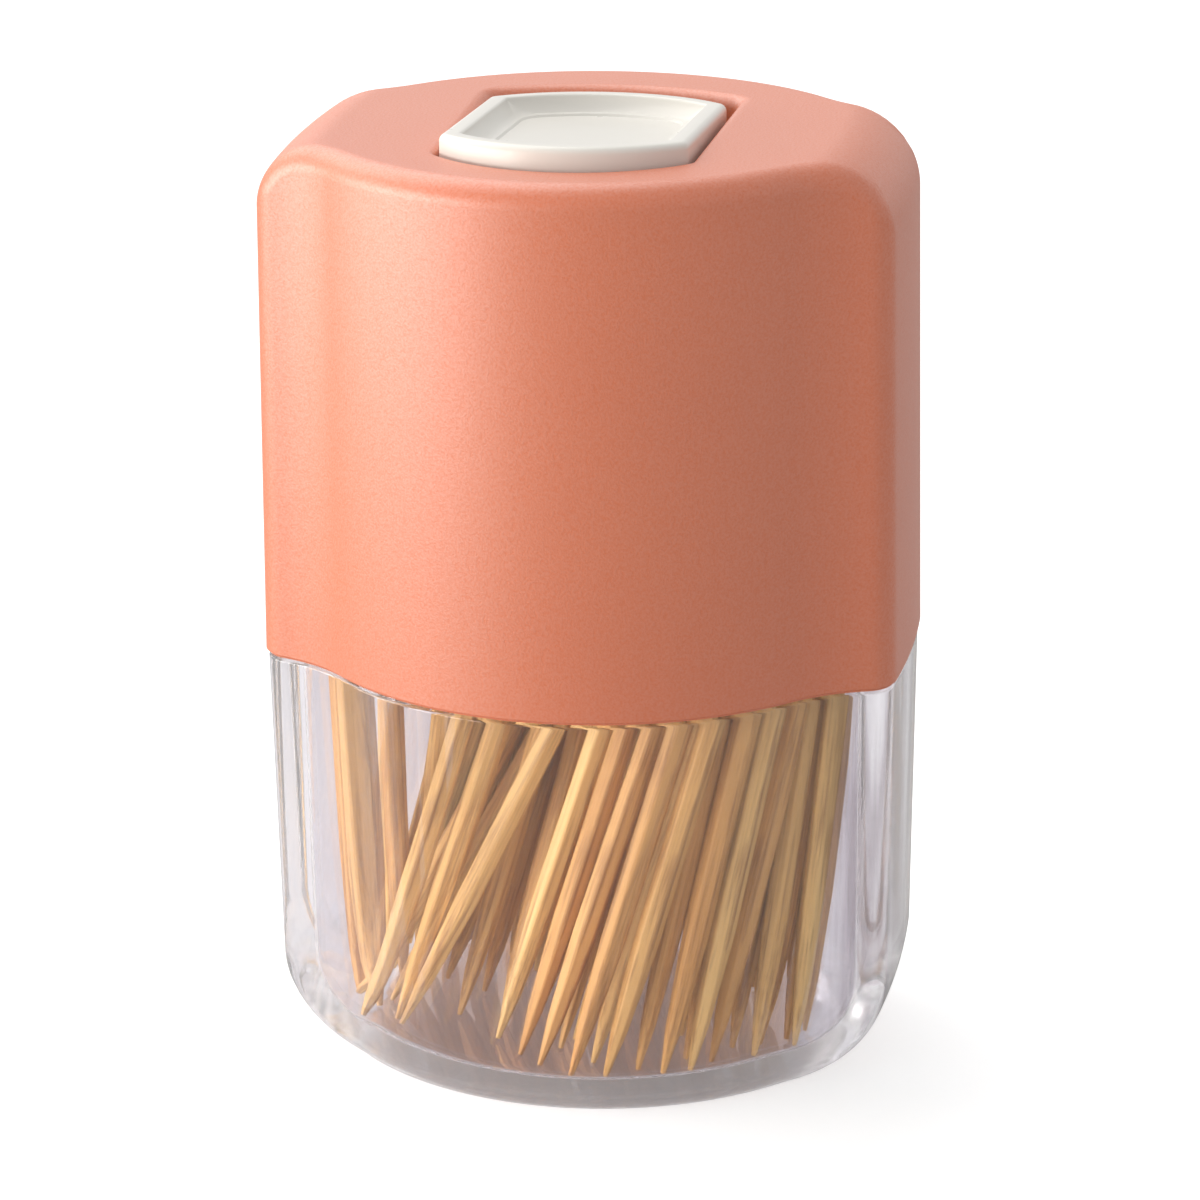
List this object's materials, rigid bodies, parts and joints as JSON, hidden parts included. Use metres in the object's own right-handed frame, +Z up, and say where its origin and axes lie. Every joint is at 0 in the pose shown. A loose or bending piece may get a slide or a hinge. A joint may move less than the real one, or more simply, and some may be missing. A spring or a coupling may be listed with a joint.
{
  "type": "toothpick dispenser",
  "caption": "Clear tub of toothpicks under an opaque hood that lifts off for refilling, with a push-to-open sprung lid over the outlet in its flat top.",
  "frame": {"origin": "middle of the flat bottom face, on the surface it stands on", "axes": "+Z up through the lid, -Y towards the front, where the lid stands proud and the latch is; the hinge is at +Y"},
  "size_m": [0.0614, 0.0502, 0.0919],
  "materials": {
    "clear_plastic": "clear gloss",
    "hood_plastic": "fine satin grain",
    "lid_plastic": "satin gloss",
    "frame_plastic": "moulded satin",
    "steel": "bright zinc-plated steel",
    "bamboo": "planed bamboo, unfinished"
  },
  "bodies": {
    "tub": {"tub": "clear_plastic", "toothpick_01": "bamboo", "toothpick_02": "bamboo", "toothpick_03": "bamboo", "toothpick_04": "bamboo", "toothpick_05": "bamboo", "toothpick_06": "bamboo", "toothpick_07": "bamboo", "toothpick_08": "bamboo", "toothpick_09": "bamboo", "toothpick_10": "bamboo", "toothpick_11": "bamboo", "toothpick_12": "bamboo", "toothpick_13": "bamboo", "toothpick_14": "bamboo", "toothpick_15": "bamboo", "toothpick_16": "bamboo", "toothpick_17": "bamboo", "toothpick_18": "bamboo", "toothpick_19": "bamboo", "toothpick_20": "bamboo", "toothpick_21": "bamboo", "toothpick_22": "bamboo", "toothpick_23": "bamboo", "toothpick_24": "bamboo", "toothpick_25": "bamboo", "toothpick_26": "bamboo", "toothpick_27": "bamboo", "toothpick_28": "bamboo", "toothpick_29": "bamboo", "toothpick_30": "bamboo", "toothpick_31": "bamboo", "toothpick_32": "bamboo", "toothpick_33": "bamboo", "toothpick_34": "bamboo", "toothpick_35": "bamboo", "toothpick_36": "bamboo", "toothpick_37": "bamboo", "toothpick_38": "bamboo", "toothpick_39": "bamboo", "toothpick_40": "bamboo", "toothpick_41": "bamboo", "toothpick_42": "bamboo", "toothpick_43": "bamboo", "toothpick_44": "bamboo", "toothpick_45": "bamboo", "toothpick_46": "bamboo", "toothpick_47": "bamboo", "toothpick_48": "bamboo", "toothpick_49": "bamboo"},
    "cover": {"hood": "hood_plastic", "inner_frame": "frame_plastic", "hinge_pin": "steel", "lid_spring": "steel", "latch_wire": "steel", "frame_screw_1": "steel", "frame_screw_2": "steel", "frame_screw_3": "steel", "frame_screw_4": "steel"},
    "lid": {"lid": "lid_plastic"}
  },
  "joints": [
    {"name": "hood_lift", "type": "slide", "parent": "tub", "child": "cover", "axis": [0, 0, 1], "range_m": [0, 0.05]},
    {"name": "lid_hinge", "type": "hinge", "parent": "cover", "child": "lid", "pos_m": [0, 0.0064, 0.0852], "axis": [-1, 0, 0], "range_deg": [-3.5, 87], "deforming": ["lid_spring", "latch_wire"]}
  ]
}
